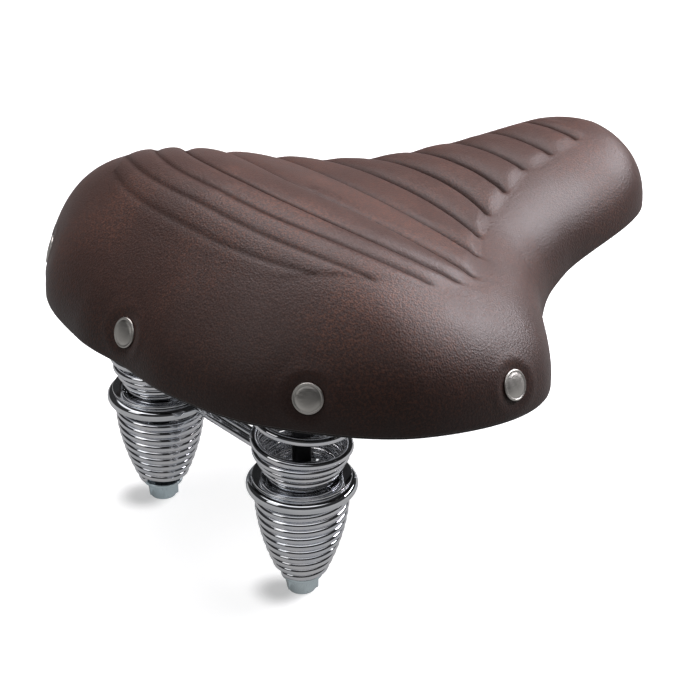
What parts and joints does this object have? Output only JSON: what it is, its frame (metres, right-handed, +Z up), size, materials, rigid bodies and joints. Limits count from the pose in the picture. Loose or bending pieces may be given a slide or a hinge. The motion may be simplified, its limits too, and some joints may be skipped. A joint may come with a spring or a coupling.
{
  "type": "sprung bicycle saddle",
  "caption": "Wide padded bicycle saddle with a ribbed synthetic-leather cover on a chromed wire under-frame, sprung at the rear and pivoted at the nose.",
  "frame": {"origin": "midway between the two rails, at the middle of the straight stretch that a seat clamp grips", "axes": "+X forwards to the nose, +Y to the rider's left, +Z up"},
  "size_m": [0.2922, 0.2568, 0.17],
  "materials": {
    "leatherette": "satin pebble grain, dark brown",
    "hem": "satin, darker brown",
    "foam": "open-cell foam",
    "pan_plastic": "moulded, matt black",
    "nickel": "brushed nickel",
    "black_steel": "semi-gloss black",
    "zinc": "bright zinc plate",
    "spring_chrome": "bright chrome plate",
    "frame_chrome": "bright chrome plate"
  },
  "bodies": {
    "frame": {"pivot_tube": "frame_chrome", "rail_left": "frame_chrome", "rail_right": "frame_chrome", "ring_left": "frame_chrome", "ring_right": "frame_chrome", "spring_seat_left": "frame_chrome", "spring_seat_right": "frame_chrome", "cross_bar_rear": "frame_chrome", "cross_bar_front": "frame_chrome", "upper_spring_left": "spring_chrome", "upper_spring_right": "spring_chrome", "lower_spring_left": "spring_chrome", "lower_spring_right": "spring_chrome"},
    "seat": {"cover": "leatherette", "cover_hem": "hem", "foam_pad": "foam", "base_pan": "pan_plastic", "cover_rivets": "nickel", "rivet_washers": "nickel", "spring_plate": "black_steel", "plate_screws": "black_steel", "nose_bracket": "black_steel", "bracket_screws": "black_steel", "nose_bolt": "zinc", "nose_nut": "zinc", "spring_bolt_left": "black_steel", "spring_bolt_right": "black_steel", "spring_washer_left": "zinc", "spring_washer_right": "zinc", "spring_nut_left": "zinc", "spring_nut_right": "zinc"}
  },
  "joints": [
    {"name": "rear_suspension", "type": "hinge", "parent": "frame", "child": "seat", "pos_m": [0.106, 0, 0.05], "axis": [0, -1, 0], "range_deg": [0, 4.1], "stiffness_Nm_per_rad": 2200, "deforming": ["upper_spring_left", "upper_spring_right", "lower_spring_left", "lower_spring_right"]}
  ]
}
